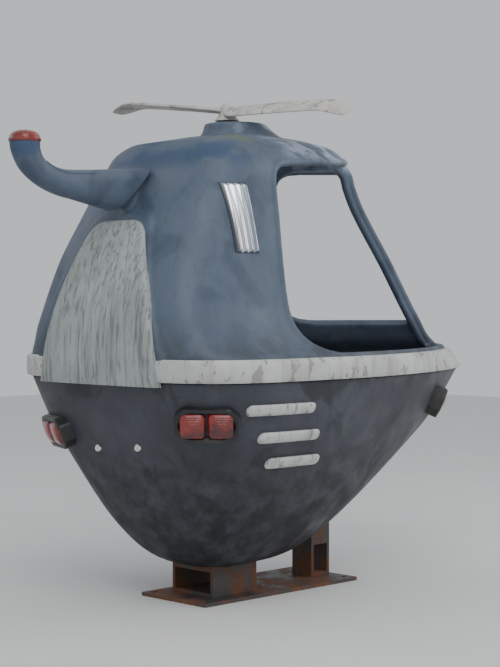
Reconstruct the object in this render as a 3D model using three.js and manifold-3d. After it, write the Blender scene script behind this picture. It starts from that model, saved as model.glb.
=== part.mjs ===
// Helicopter-shaped fairground ride gondola: a glass-fibre tub and cabin on a steel foot.
// Millimetres. +X runs to the nose, +Y to port, +Z up. The origin is on the underside of the
// foot plate, straight below the rotor mast.
import * as THREE from 'three';
import { mergeVertices } from 'three/addons/utils/BufferGeometryUtils.js';
import Module from 'manifold-3d';

const wasm = await Module();
wasm.setup();

// Driving dimensions.
const GAP = 0.3;
const SHELL = 20;
const SEAM_Z = 716;
const BELT_TOP_Z = 784;
const PORT_SILL_Z = 870;
const PILLAR_TOP_Z = 1370;
const WIDEST_X = -100;
const NOSE_INSET = 1.6;
const ROOF_TOP_Z = 1485;
const DOOR_SILL_Z = 665;
const FLOOR_Z = 330;

// Hull and cabin sections from the keel to the roof crown: height, rear end, nose, half width,
// and how square the rear corners and how blunt the nose are.
const HULL_SECTIONS = [
  { z: 105, rear: -180, nose: 150, half: 95, square: 2.2, blunt: 2.0 },
  { z: 122, rear: -240, nose: 235, half: 155, square: 2.4, blunt: 1.9 },
  { z: 160, rear: -300, nose: 330, half: 205, square: 2.6, blunt: 1.8 },
  { z: 220, rear: -352, nose: 440, half: 262, square: 2.8, blunt: 1.7 },
  { z: 300, rear: -400, nose: 570, half: 322, square: 3.0, blunt: 1.6 },
  { z: 470, rear: -480, nose: 848, half: 412, square: 3.4, blunt: 1.42 },
  { z: 560, rear: -520, nose: 985, half: 450, square: 3.6, blunt: 1.34 },
  { z: SEAM_Z, rear: -568, nose: 1150, half: 498, square: 4.0, blunt: 1.25 },
];
const CABIN_SECTIONS = [
  { z: SEAM_Z, rear: -568, nose: 1150, half: 498, square: 4.0, blunt: 1.25 },
  { z: BELT_TOP_Z, rear: -572, nose: 1050, half: 492, square: 4.0, blunt: 1.3 },
  { z: 820, rear: -571, nose: 1000, half: 440, square: 5.0, blunt: 1.3 },
  { z: PORT_SILL_Z, rear: -568, nose: 961, half: 402, square: 6.0, blunt: 1.35 },
  { z: 920, rear: -562, nose: 920, half: 380, square: 6.0, blunt: 1.35 },
  { z: 1000, rear: -545, nose: 858, half: 363, square: 5.5, blunt: 1.38 },
  { z: 1090, rear: -515, nose: 789, half: 350, square: 5.0, blunt: 1.4 },
  { z: 1220, rear: -453, nose: 680, half: 335, square: 4.0, blunt: 1.4 },
  { z: 1290, rear: -415, nose: 627, half: 325, square: 3.7, blunt: 1.4 },
  { z: 1360, rear: -375, nose: 588, half: 315, square: 3.4, blunt: 1.4 },
  { z: 1405, rear: -352, nose: 562, half: 296, square: 3.4, blunt: 1.4 },
  { z: 1425, rear: -338, nose: 524, half: 279, square: 3.3, blunt: 1.42 },
  { z: 1440, rear: -322, nose: 504, half: 258, square: 3.2, blunt: 1.48 },
  { z: 1455, rear: -296, nose: 486, half: 230, square: 3.0, blunt: 1.55 },
  { z: 1468, rear: -215, nose: 450, half: 200, square: 2.6, blunt: 1.65 },
  { z: 1478, rear: -150, nose: 402, half: 168, square: 2.3, blunt: 1.8 },
  { z: ROOF_TOP_Z, rear: -118, nose: 340, half: 135, square: 2.1, blunt: 2.0 },
];
const RING_STEPS = 40;

// Doorway and windows: distance ahead of the mast of each upright edge, at its foot and its head.
const DOOR_REAR = { foot: -225, head: -95 };
const DOOR_FRONT = { foot: 318, head: 250 };
const PORT_WINDOW_REAR = { foot: 492, head: 372 };
const STARBOARD_WINDOW_REAR_X = -130;
const A_PILLAR_HALF = 16;
const HEAD_RADIUS = 50;
const FOOT_RADIUS = 120;
const DOOR_FOOT_RADIUS = 50;

// The port openings have a level head. The starboard window's head climbs towards the nose: its
// heights at the rear upright and by the front pillar.
const PORT_HEAD_Z = 1404;
const HEAD = { rearX: -130, rearZ: 1378, frontX: 470, frontZ: 1424 };

function headZ(x) {
  return HEAD.rearZ + ((HEAD.frontZ - HEAD.rearZ) * (x - HEAD.rearX)) / (HEAD.frontX - HEAD.rearX);
}

// Rotor and mast.
const MAST_X = -20;
const ROTOR_Z = 1568;
const ROTOR_RADIUS = 468;
const ROTOR_REST_DEG = -81;
const BLADE_CHORD = 110;
const BLADE_THICK = 16;
const FAIRING_TOP_Z = 1531;

// Steel foot.
const PLATE = { rear: -260, front: 450, half: 150, thick: 12 };

const group = new THREE.Group();

function material(color, roughness, metalness) {
  return new THREE.MeshStandardMaterial({ color, roughness, metalness });
}

function add(name, geometry, look, place = {}) {
  const mesh = new THREE.Mesh(geometry, material(...look));
  mesh.name = name;
  mesh.position.set(...(place.at ?? [0, 0, 0]));
  mesh.rotation.set(...(place.turn ?? [0, 0, 0]));
  group.add(mesh);
  return mesh;
}

const PAINT = [0x5d6c7c, 0.55, 0.0];
const PAINT_DARK = [0x46505c, 0.55, 0.0];
const WHITE_PAINT = [0xb9bcb4, 0.6, 0.0];
const INTERIOR = [0x6a6d70, 0.7, 0.0];
const STEEL = [0x5a4a42, 0.75, 0.6];
const WHITE_TUBE = [0xc6cac8, 0.4, 0.2];
const BLACK = [0x17181a, 0.5, 0.0];
const RED_LENS = [0x7a1c14, 0.25, 0.0];
const CLEAR_LENS = [0xc9cfd0, 0.2, 0.0];
const CHROME = [0xaeb4ba, 0.25, 0.9];

// Solids and booleans.
function solidOf(geometry) {
  const bare = geometry.clone();
  for (const key of Object.keys(bare.attributes)) {
    if (key !== 'position') {
      bare.deleteAttribute(key);
    }
  }
  const merged = mergeVertices(bare, 1e-3);
  return new wasm.Manifold(new wasm.Mesh({
    numProp: 3,
    vertProperties: new Float32Array(merged.attributes.position.array),
    triVerts: new Uint32Array(merged.index.array),
  }));
}

function geometryOf(solid) {
  const mesh = solid.getMesh();
  const geometry = new THREE.BufferGeometry();
  geometry.setAttribute('position', new THREE.BufferAttribute(new Float32Array(mesh.vertProperties), 3));
  geometry.setIndex(new THREE.BufferAttribute(new Uint32Array(mesh.triVerts), 1));
  return geometry;
}

function box(x0, x1, y0, y1, z0, z1) {
  const geometry = new THREE.BoxGeometry(x1 - x0, y1 - y0, z1 - z0);
  geometry.translate((x0 + x1) / 2, (y0 + y1) / 2, (z0 + z1) / 2);
  return geometry;
}

function boxSolid(...edges) {
  return solidOf(box(...edges));
}

// Plan ring of one section, drawn in by inset.
function ring(section, inset) {
  const points = [];
  const back = WIDEST_X - section.rear - inset;
  const ahead = section.nose - WIDEST_X - inset * NOSE_INSET;
  const half = section.half - inset;
  for (let i = 0; i < RING_STEPS; i += 1) {
    const angle = (2 * Math.PI * i) / RING_STEPS;
    const c = Math.cos(angle);
    const s = Math.sin(angle);
    const rounding = c < 0 ? section.square : section.blunt;
    const along = c < 0 ? -back * Math.abs(c) ** (2 / section.square) : ahead * c;
    points.push([WIDEST_X + along, half * Math.sign(s) * Math.abs(s) ** (2 / rounding), section.z]);
  }
  return points;
}

// Closed solid through rings of equal length, with flat fans on both ends.
function skin(rings) {
  const steps = rings[0].length;
  const last = rings.length - 1;
  const index = [];
  for (let level = 0; level < last; level += 1) {
    for (let i = 0; i < steps; i += 1) {
      const a = level * steps + i;
      const b = level * steps + ((i + 1) % steps);
      index.push(a, b, b + steps, a, b + steps, a + steps);
    }
  }
  for (let i = 1; i < steps - 1; i += 1) {
    index.push(0, i + 1, i, last * steps, last * steps + i, last * steps + i + 1);
  }
  const geometry = new THREE.BufferGeometry();
  geometry.setAttribute('position', new THREE.BufferAttribute(new Float32Array(rings.flat(2)), 3));
  geometry.setIndex(index);
  return solidOf(geometry);
}

function loft(sections, inset) {
  return skin(sections.map((section) => ring(section, inset)));
}

// Copies of the end sections beyond both ends, so that a cutter runs past the faces it cuts.
function extended(sections, below, above) {
  const first = { ...sections[0], z: sections[0].z - below };
  const last = { ...sections[sections.length - 1] };
  last.z += above;
  return [...(below ? [first] : []), ...sections, ...(above ? [last] : [])];
}

function raised(sections, lift) {
  return sections.map((section) => ({ ...section, z: section.z + lift }));
}

// Prism of an outline in the XZ plane from y0 to y1. A corner is x, z and its rounding.
function prism(corners, y0, y1) {
  const shape = new THREE.Shape();
  corners.forEach(([x, z, radius], i) => {
    const before = corners[(i + corners.length - 1) % corners.length];
    const after = corners[(i + 1) % corners.length];
    const here = new THREE.Vector2(x, z);
    const start = new THREE.Vector2(before[0], before[1]).sub(here).setLength(radius).add(here);
    const end = new THREE.Vector2(after[0], after[1]).sub(here).setLength(radius).add(here);
    if (i === 0) {
      shape.moveTo(start.x, start.y);
    } else {
      shape.lineTo(start.x, start.y);
    }
    shape.quadraticCurveTo(x, z, end.x, end.y);
  });
  shape.closePath();
  const geometry = new THREE.ExtrudeGeometry(shape, {
    depth: y1 - y0, bevelEnabled: false, curveSegments: 4,
  });
  geometry.rotateX(Math.PI / 2);
  geometry.translate(0, y1, 0);
  return solidOf(geometry);
}

// Outer solids of the tub and the cabin, grown or shrunk by inset.
const hullOuter = (inset) => loft(HULL_SECTIONS, inset);
const cabinOuter = (inset) => loft(CABIN_SECTIONS, inset);
const bodyOuter = (inset) => hullOuter(inset).add(cabinOuter(inset));

const PAST_SEAM = 60;
const hullCavity = (inset) => loft(extended(raised(HULL_SECTIONS, SHELL), 0, PAST_SEAM), inset);
const cabinCavity = (inset) => loft(extended(raised(CABIN_SECTIONS, -SHELL), PAST_SEAM, 0), inset);

// Tub.
const KEEL_TOP_Z = 290;
const TUB_REAR_X = -330;
const TUB_BOW_X = 560;
const FAR = 2000;
const AHEAD_OF_NOSE = 1300;
const MIDDLE = 100;
const doorNotch = boxSolid(DOOR_REAR.foot, DOOR_FRONT.foot, MIDDLE, FAR, DOOR_SILL_Z, FAR);
const tub = hullOuter(0).subtract(hullCavity(SHELL)).subtract(doorNotch);

function piece(solid, x0, x1, y0, y1, z0, z1) {
  return geometryOf(solid.intersect(boxSolid(x0, x1, y0, y1, z0, z1)));
}

add('hull_keel', piece(tub, -FAR, FAR, -FAR, FAR, 0, KEEL_TOP_Z), PAINT_DARK);
add('hull_rear', piece(tub, -FAR, TUB_REAR_X, -FAR, FAR, KEEL_TOP_Z + GAP, SEAM_Z), PAINT_DARK);
const sides = { from: TUB_REAR_X + GAP, to: TUB_BOW_X, foot: KEEL_TOP_Z + GAP };
add('hull_starboard', piece(tub, sides.from, sides.to, -FAR, 0, sides.foot, SEAM_Z), PAINT_DARK);
add('hull_port', piece(tub, sides.from, sides.to, 0, FAR, sides.foot, SEAM_Z), PAINT_DARK);
add('hull_bow', piece(tub, TUB_BOW_X + GAP, FAR, -FAR, FAR, KEEL_TOP_Z + GAP, SEAM_Z), PAINT_DARK);

// Cabin.
const portWindow = prism(
  [[PORT_WINDOW_REAR.foot, PORT_SILL_Z, FOOT_RADIUS], [AHEAD_OF_NOSE, PORT_SILL_Z, GAP],
    [AHEAD_OF_NOSE, PORT_HEAD_Z, GAP], [PORT_WINDOW_REAR.head, PORT_HEAD_Z, HEAD_RADIUS]],
  A_PILLAR_HALF,
  FAR,
);
const starboardWindow = prism(
  [[STARBOARD_WINDOW_REAR_X, BELT_TOP_Z, FOOT_RADIUS], [AHEAD_OF_NOSE, BELT_TOP_Z, GAP],
    [AHEAD_OF_NOSE, headZ(AHEAD_OF_NOSE), GAP], [STARBOARD_WINDOW_REAR_X, HEAD.rearZ, HEAD_RADIUS]],
  -FAR,
  -A_PILLAR_HALF,
);
const doorway = prism(
  [[DOOR_REAR.foot, DOOR_SILL_Z, DOOR_FOOT_RADIUS], [DOOR_FRONT.foot, DOOR_SILL_Z, DOOR_FOOT_RADIUS],
    [DOOR_FRONT.head, PORT_HEAD_Z, HEAD_RADIUS], [DOOR_REAR.head, PORT_HEAD_Z, HEAD_RADIUS]],
  MIDDLE,
  FAR,
);
const cabin = cabinOuter(0)
  .subtract(cabinCavity(SHELL))
  .subtract(portWindow)
  .subtract(starboardWindow)
  .subtract(doorway);
const CABIN_FOOT_Z = SEAM_Z + GAP;
const ROOF_FOOT_Z = PILLAR_TOP_Z + GAP;
const NOSE_X = 850;
const B_PILLAR = { from: 100, to: 560 };
const SIDE_POST_X = STARBOARD_WINDOW_REAR_X + FOOT_RADIUS;
const A_PILLAR_FROM = 450;
add('roof_shell', piece(cabin, -FAR, FAR, -FAR, FAR, ROOF_FOOT_Z, FAR), PAINT);
add('cabin_rear', piece(cabin, -FAR, TUB_REAR_X, -FAR, FAR, CABIN_FOOT_Z, PILLAR_TOP_Z), PAINT);
add(
  'cabin_starboard',
  piece(cabin, TUB_REAR_X + GAP, SIDE_POST_X, -FAR, 0, BELT_TOP_Z + GAP, PILLAR_TOP_Z),
  PAINT,
);
add('cabin_port_rear', piece(cabin, TUB_REAR_X + GAP, 0, 0, FAR, CABIN_FOOT_Z, PILLAR_TOP_Z), PAINT);
add(
  'b_pillar',
  piece(cabin, B_PILLAR.from, B_PILLAR.to, A_PILLAR_HALF, FAR, PORT_SILL_Z + GAP, PILLAR_TOP_Z),
  PAINT,
);
add(
  'port_coaming',
  piece(cabin, B_PILLAR.from, NOSE_X, A_PILLAR_HALF, FAR, CABIN_FOOT_Z, PORT_SILL_Z),
  PAINT,
);
add('starboard_sill', piece(cabin, TUB_REAR_X + GAP, NOSE_X, -FAR, 0, CABIN_FOOT_Z, BELT_TOP_Z), PAINT);
add('nose_cowl', piece(cabin, NOSE_X + GAP, FAR, -FAR, FAR, CABIN_FOOT_Z, PORT_SILL_Z), PAINT);
add(
  'a_pillar',
  piece(cabin, A_PILLAR_FROM, FAR, -A_PILLAR_HALF, A_PILLAR_HALF, PORT_SILL_Z + GAP, PILLAR_TOP_Z),
  PAINT,
);

// Floor, bench and backrest inside.
const liner = hullCavity(SHELL + GAP);
const cabinLiner = cabinCavity(SHELL + GAP);
const FLOOR_THICK = 15;
const SEAT_TOP_Z = 600;
const SEAT_FRONT_X = -130;
const BACK_FRONT_X = -400;
const BACK_TOP_Z = 1000;
const floorTop = FLOOR_Z + FLOOR_THICK;
add('floor_panel', piece(liner, -FAR, FAR, -FAR, FAR, FLOOR_Z, floorTop), INTERIOR);
add('bench_seat', piece(liner, -FAR, SEAT_FRONT_X, -FAR, FAR, floorTop + GAP, SEAT_TOP_Z), INTERIOR);
const linerBelow = liner.intersect(boxSolid(-FAR, FAR, -FAR, FAR, 0, SEAM_Z));
const linerAbove = cabinLiner.intersect(boxSolid(-FAR, FAR, -FAR, FAR, SEAM_Z, FAR));
const backBlock = boxSolid(-FAR, BACK_FRONT_X, -FAR, FAR, SEAT_TOP_Z + GAP, BACK_TOP_Z);
add('backrest', geometryOf(linerBelow.add(linerAbove).intersect(backBlock)), INTERIOR);

// White belt over the seam and the fluted panel on the rear.
const BELT_STAND = 14;
const PANEL_STAND = 10;
const PANEL_TOP_Z = 1195;
const PANEL_HALF = { foot: 268, head: 105 };
const PANEL_RADIUS = 30;
const SIDE_REAR_X = -400;
const panelOutline = [
  [-PANEL_HALF.foot, SEAM_Z, PANEL_RADIUS], [PANEL_HALF.foot, SEAM_Z, PANEL_RADIUS],
  [PANEL_HALF.head, PANEL_TOP_Z, PANEL_RADIUS], [-PANEL_HALF.head, PANEL_TOP_Z, PANEL_RADIUS],
];
const panelPrism = prism(panelOutline, 0, FAR).rotate([0, 0, 90]);
const beltBand = cabinOuter(-BELT_STAND).subtract(cabinOuter(-GAP));
const panelBand = cabinOuter(-PANEL_STAND).subtract(cabinOuter(-GAP));
add('rear_cowl_panel', geometryOf(panelBand.intersect(panelPrism)), WHITE_PAINT);
const beltGap = PANEL_HALF.foot + 2 * GAP;
const beltCut = beltBand.subtract(boxSolid(-FAR, SIDE_REAR_X, -beltGap, beltGap, 0, FAR));
add('belt_starboard', piece(beltCut, -FAR, FAR, -FAR, 0, CABIN_FOOT_Z, BELT_TOP_Z), WHITE_PAINT);
for (const [name, x0, x1] of [['rear', -FAR, DOOR_REAR.foot], ['front', DOOR_FRONT.foot, FAR]]) {
  add(`belt_port_${name}`, piece(beltCut, x0, x1, GAP, FAR, CABIN_FOOT_Z, BELT_TOP_Z), WHITE_PAINT);
}

// Tail boom and its lamp. The boom deepens into a flat-sided web at its root: each station has a
// place, its turn from level, half sizes and how square its section is.
const BOOM = [
  { x: -340, z: 1274, turn: 180, high: 93, wide: 62, square: 3.2 },
  { x: -420, z: 1279, turn: 180, high: 81, wide: 54, square: 3.0 },
  { x: -500, z: 1287, turn: 180, high: 67, wide: 48, square: 2.7 },
  { x: -620, z: 1299, turn: 179, high: 49, wide: 42, square: 2.3 },
  { x: -700, z: 1304, turn: 174, high: 41, wide: 38, square: 2.0 },
  { x: -765, z: 1322, turn: 150, high: 38, wide: 37, square: 2.0 },
  { x: -815, z: 1356, turn: 118, high: 40, wide: 40, square: 2.0 },
  { x: -834, z: 1392, turn: 97, high: 43, wide: 43, square: 2.0 },
  { x: -838, z: 1418, turn: 90, high: 45, wide: 45, square: 2.0 },
];
const BOOM_STEPS = 16;

function bulged(value, square) {
  return Math.sign(value) * Math.abs(value) ** (2 / square);
}

const boomRings = BOOM.map((station) => {
  const turn = THREE.MathUtils.degToRad(station.turn);
  const points = [];
  for (let i = 0; i < BOOM_STEPS; i += 1) {
    const angle = (2 * Math.PI * i) / BOOM_STEPS;
    const across = station.high * bulged(Math.cos(angle), station.square);
    points.push([
      station.x + across * Math.sin(turn),
      station.wide * bulged(Math.sin(angle), station.square),
      station.z - across * Math.cos(turn),
    ]);
  }
  return points;
});
add('tail_boom', geometryOf(skin(boomRings).subtract(bodyOuter(-GAP))), PAINT);

function lathe(profile, segments = 32) {
  const geometry = new THREE.LatheGeometry(profile.map(([r, z]) => new THREE.Vector2(r, z)), segments);
  geometry.rotateX(Math.PI / 2);
  return geometry;
}

const tip = BOOM[BOOM.length - 1];
const lampDome = [[0, 0], [48, 0], [48, 8], [43, 20], [28, 30], [0, 34]];
add('tail_lamp', lathe(lampDome, 24), RED_LENS, { at: [tip.x, 0, tip.z + GAP] });

// Mast fairing, spindle and vent plate. The fairing slides forward towards its foot, so its rear
// flank is steep and its front flank flares into the roof.
const FAIRING_X = 14;
const FAIRING_SLIDE = 0.57;
const slide = new THREE.Matrix4().set(
  1, 0, -FAIRING_SLIDE, FAIRING_X + FAIRING_SLIDE * FAIRING_TOP_Z,
  0, 1, 0, 0,
  0, 0, 1, 0,
  0, 0, 0, 1,
);
const fairing = solidOf(lathe([[0, 1440], [162, 1440], [148, 1466], [128, 1484], [114, 1500], [105, 1516],
  [98, 1527], [88, FAIRING_TOP_Z], [0, FAIRING_TOP_Z]], 28).applyMatrix4(slide));
add('mast_fairing', geometryOf(fairing.subtract(cabinOuter(-GAP))), PAINT);
const SPINDLE_RADIUS = 12;
const SPINDLE_TOP_Z = 1576;
add('mast_spindle', lathe([[0, FAIRING_TOP_Z + GAP], [SPINDLE_RADIUS, FAIRING_TOP_Z + GAP],
  [SPINDLE_RADIUS, SPINDLE_TOP_Z], [0, SPINDLE_TOP_Z]], 20), STEEL, { at: [MAST_X, 0, 0] });

const VENT = { footZ: 1100, headZ: 1310, footX: [-320, -224], headX: [-333, -249], stand: 8, radius: 2 };
const ventBand = cabinOuter(-VENT.stand).subtract(cabinOuter(-GAP));
const ventOutline = [[VENT.footX[0], VENT.footZ, VENT.radius], [VENT.footX[1], VENT.footZ, VENT.radius],
  [VENT.headX[1], VENT.headZ, VENT.radius], [VENT.headX[0], VENT.headZ, VENT.radius]];
add('vent_plate', geometryOf(ventBand.intersect(prism(ventOutline, -FAR, 0))), CHROME);

// Lamp clusters: a black oval housing with two domed lenses on one carrier.
const HOUSING = { length: 194, height: 106, proud: 14, deep: 60 };
const LENS = { carrier: 4, radius: 37, spacing: 84, rise: 24, endMargin: 14, sideMargin: 9, sunk: 1 };

function stadium(length, height, depth) {
  const radius = height / 2;
  const run = (length - height) / 2;
  const shape = new THREE.Shape();
  shape.absarc(run, 0, radius, -Math.PI / 2, Math.PI / 2, false);
  shape.absarc(-run, 0, radius, Math.PI / 2, (3 * Math.PI) / 2, false);
  return new THREE.ExtrudeGeometry(shape, { depth, bevelEnabled: false, curveSegments: 6 });
}

function placed(solid, at, yaw, pitch) {
  const turn = new THREE.Matrix4()
    .makeRotationZ(yaw)
    .multiply(new THREE.Matrix4().makeRotationY(pitch))
    .multiply(new THREE.Matrix4().makeBasis(
      new THREE.Vector3(0, 1, 0),
      new THREE.Vector3(0, 0, 1),
      new THREE.Vector3(1, 0, 0),
    ));
  const matrix = turn.setPosition(...at);
  const geometry = geometryOf(solid);
  geometry.applyMatrix4(matrix);
  return solidOf(geometry);
}

function lampCluster(name, at, yawDeg, pitchDeg, lensLook) {
  const yaw = THREE.MathUtils.degToRad(yawDeg);
  const pitch = THREE.MathUtils.degToRad(pitchDeg);
  const block = stadium(HOUSING.length, HOUSING.height, HOUSING.proud + HOUSING.deep);
  block.translate(0, 0, -HOUSING.deep);
  const housing = placed(solidOf(block), at, yaw, pitch).subtract(bodyOuter(-GAP));
  add(`${name}_housing`, geometryOf(housing), BLACK);
  const front = HOUSING.proud + GAP;
  const carrier = stadium(
    HOUSING.length - 2 * LENS.endMargin,
    HOUSING.height - 2 * LENS.sideMargin,
    LENS.carrier,
  );
  carrier.translate(0, 0, front);
  let lens = solidOf(carrier);
  for (const side of [-1, 1]) {
    const dome = lathe([[0, 0], [LENS.radius, 0], [LENS.radius * 0.93, LENS.rise * 0.5],
      [LENS.radius * 0.6, LENS.rise * 0.87], [0, LENS.rise]], 14);
    dome.translate((side * LENS.spacing) / 2, 0, front + LENS.carrier - LENS.sunk);
    lens = lens.add(solidOf(dome));
  }
  add(`${name}_lenses`, geometryOf(placed(lens, at, yaw, pitch)), lensLook);
}

// The rear port cluster sits lower and further round the stern than its starboard partner.
const REAR_STARBOARD_LAMP = { x: -475, y: -385, z: 593, yaw: -137, pitch: 16 };
const REAR_PORT_LAMP = { x: -495, y: 290, z: 538, yaw: 158, pitch: 22 };
const FRONT_LAMP = { x: 745, y: 262, z: 603, yaw: 48, pitch: 24 };
for (const [side, lamp] of [['port', REAR_PORT_LAMP], ['starboard', REAR_STARBOARD_LAMP]]) {
  lampCluster(`rear_${side}_lamp`, [lamp.x, lamp.y, lamp.z], lamp.yaw, lamp.pitch, RED_LENS);
}
for (const [side, hand] of [['port', 1], ['starboard', -1]]) {
  lampCluster(`front_${side}_lamp`, [FRONT_LAMP.x, hand * FRONT_LAMP.y, FRONT_LAMP.z],
    hand * FRONT_LAMP.yaw, FRONT_LAMP.pitch, CLEAR_LENS);
}

// Raised side mouldings.
const MOULDING = { height: 34, proud: 14, radius: 15, innerY: 50 };
const mouldingBand = hullOuter(-MOULDING.proud).subtract(hullOuter(-GAP));
const MOULDINGS = [
  { name: 'starboard_moulding_1', x0: -380, x1: -113, z: 633, hand: -1 },
  { name: 'starboard_moulding_2', x0: -315, x1: -67, z: 548, hand: -1 },
  { name: 'starboard_moulding_3', x0: -255, x1: -30, z: 467, hand: -1 },
  { name: 'port_moulding_1', x0: -190, x1: 300, z: 548, hand: 1 },
  { name: 'port_moulding_2', x0: -110, x1: 260, z: 467, hand: 1 },
];
for (const strip of MOULDINGS) {
  const foot = strip.z - MOULDING.height / 2;
  const head = strip.z + MOULDING.height / 2;
  const cut = [[strip.x0, foot, MOULDING.radius], [strip.x1, foot, MOULDING.radius],
    [strip.x1, head, MOULDING.radius], [strip.x0, head, MOULDING.radius]];
  const reach = strip.hand > 0 ? [MOULDING.innerY, FAR] : [-FAR, -MOULDING.innerY];
  add(strip.name, geometryOf(mouldingBand.intersect(prism(cut, ...reach))), WHITE_PAINT);
}

// Door rails: a sill bar and two hoops of white tube.
const RAIL_RADIUS = 10;
const CROSS_BAR_RADIUS = 7;

function tube(points, radius, steps) {
  const shape = new THREE.Shape();
  shape.absarc(0, 0, radius, 0, 2 * Math.PI, false);
  const corners = points.map((p) => new THREE.Vector3(...p));
  const path = new THREE.CatmullRomCurve3(corners, false, 'centripetal');
  return new THREE.ExtrudeGeometry(shape, {
    extrudePath: path, steps, bevelEnabled: false, curveSegments: 4,
  });
}

const sillBar = [[336, 408, 653], [328, 474, 654], [292, 508, 655], [200, 512, 655], [60, 513, 655],
  [-80, 512, 655], [-200, 510, 655], [-286, 506, 656], [-308, 488, 657], [-314, 458, 657]];
const frontHoop = [[190, 512, 655], [262, 508, 705], [330, 502, 790], [380, 489, 915], [386, 479, 1000],
  [345, 470, 1060], [285, 468, 1068], [225, 474, 1005], [150, 489, 870], [60, 512, 655]];
const rearHoop = [[-170, 512, 655], [-174, 524, 730], [-188, 512, 850], [-222, 482, 1050],
  [-246, 470, 1118], [-276, 466, 1142], [-303, 468, 1116], [-312, 474, 1050],
  [-308, 502, 850], [-292, 524, 740], [-276, 508, 657]];
const sillSolid = solidOf(tube(sillBar, RAIL_RADIUS, 16));
const keepOff = bodyOuter(-GAP);
add('door_sill_bar', geometryOf(sillSolid.subtract(keepOff)), WHITE_TUBE);
const sillClear = solidOf(tube(sillBar, RAIL_RADIUS + GAP, 16));
const crossBar = solidOf(tube([[386, 487, 915], [250, 487, 915], [165, 487, 915]], CROSS_BAR_RADIUS, 6));
add('front_hoop', geometryOf(
  solidOf(tube(frontHoop, RAIL_RADIUS, 28)).add(crossBar).subtract(sillClear).subtract(keepOff),
), WHITE_TUBE);
add('rear_hoop', geometryOf(
  solidOf(tube(rearHoop, RAIL_RADIUS, 26)).subtract(sillClear).subtract(keepOff),
), WHITE_TUBE);

// Steel foot: plate, box bracket under the keel, and a lug under the bow.
const BOLT_RADIUS = 9;
const BOLT_INSET = 32;
let plate = boxSolid(PLATE.rear, PLATE.front, -PLATE.half, PLATE.half, 0, PLATE.thick);
for (const x of [PLATE.rear + BOLT_INSET, PLATE.front - BOLT_INSET]) {
  for (const y of [-PLATE.half + BOLT_INSET, PLATE.half - BOLT_INSET]) {
    const hole = new THREE.CylinderGeometry(BOLT_RADIUS, BOLT_RADIUS, 3 * PLATE.thick, 12);
    hole.rotateX(Math.PI / 2);
    hole.translate(x, y, PLATE.thick / 2);
    plate = plate.subtract(solidOf(hole));
  }
}
add('foot_plate', geometryOf(plate), STEEL);
const hullKeepOff = hullOuter(-GAP);
const plateTop = PLATE.thick + GAP;
const SOCKET_FOOT_Z = 24;
const BRACKET = { rear: -175, front: 20, half: 95, top: 140, wall: 12, socketTop: 92 };
const LUG = { rear: 335, front: 425, half: 45, top: 260, wall: 12, socketTop: 120 };
const bracketSocket = boxSolid(
  -FAR,
  FAR,
  BRACKET.wall - BRACKET.half,
  BRACKET.half - BRACKET.wall,
  SOCKET_FOOT_Z,
  BRACKET.socketTop,
);
const bracket = boxSolid(BRACKET.rear, BRACKET.front, -BRACKET.half, BRACKET.half, plateTop, BRACKET.top);
add('keel_bracket', geometryOf(bracket.subtract(bracketSocket).subtract(hullKeepOff)), STEEL);
const lugSocket = boxSolid(
  LUG.rear + LUG.wall,
  LUG.front - LUG.wall,
  -FAR,
  FAR,
  SOCKET_FOOT_Z,
  LUG.socketTop,
);
const lug = boxSolid(LUG.rear, LUG.front, -LUG.half, LUG.half, plateTop, LUG.top);
add('bow_lug', geometryOf(lug.subtract(lugSocket).subtract(hullKeepOff)), STEEL);

// Rotor: a low domed hub over the spindle and two pitched blades with dropped tips. The pair leans
// towards the starboard quarter, with the tip over the port quarter high.
const RUNNING_GAP = 0.7;
const HUB_FOOT_Z = FAIRING_TOP_Z + 6;
const HUB_BORE = SPINDLE_RADIUS + RUNNING_GAP;
const HUB_BORE_TOP_Z = 1581;
const HUB_PROFILE = [[40, HUB_FOOT_Z], [31, 1549], [25, 1562], [22, 1580], [17, 1590], [0, 1596]];
add('rotor_hub', lathe([[0, HUB_BORE_TOP_Z], [HUB_BORE, HUB_BORE_TOP_Z], [HUB_BORE, HUB_FOOT_Z],
  ...HUB_PROFILE], 20), WHITE_PAINT, { at: [MAST_X, 0, 0] });
const BLADE_STATIONS = [
  { r: 8, chord: 64, rise: 0 },
  { r: 35, chord: 96, rise: 1 },
  { r: 70, chord: 106, rise: 3 },
  { r: 170, chord: BLADE_CHORD, rise: 10 },
  { r: 338, chord: BLADE_CHORD, rise: 19 },
  { r: 388, chord: 108, rise: 20 },
  { r: 412, chord: 102, rise: 16 },
  { r: 446, chord: 84, rise: 5 },
  { r: ROTOR_RADIUS, chord: 54, rise: -2 },
];
const BLADE_STEPS = 10;
const BLADE_CAMBER = 4;
const BLADE_PITCH_DEG = 12.5;
const LEAN_DEG = { across: 10, along: 3.5 };

function bladeRing(station) {
  const points = [];
  for (let i = 0; i < BLADE_STEPS; i += 1) {
    const angle = (2 * Math.PI * i) / BLADE_STEPS;
    const along = Math.cos(angle);
    const camber = BLADE_CAMBER * (1 - along * along);
    points.push([
      station.r,
      (station.chord / 2) * along,
      station.rise + camber + (BLADE_THICK / 2) * Math.sin(angle),
    ]);
  }
  return points;
}

const blade = skin(BLADE_STATIONS.map(bladeRing));
const hubClear = solidOf(lathe([[0, HUB_FOOT_Z - GAP],
  ...HUB_PROFILE.map(([r, z]) => [r + (r ? GAP : 0), z + (r ? 0 : 2 * GAP)])], 20))
  .translate([MAST_X, 0, 0]);
for (const [i, turn] of [0, 180].entries()) {
  const placedBlade = blade
    .rotate([BLADE_PITCH_DEG, 0, turn])
    .rotate([LEAN_DEG.across, LEAN_DEG.along, 0])
    .rotate([0, 0, ROTOR_REST_DEG])
    .translate([MAST_X, 0, ROTOR_Z]);
  add(`rotor_blade_${i + 1}`, geometryOf(placedBlade.subtract(hubClear)), WHITE_PAINT);
}

export default group;
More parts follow.
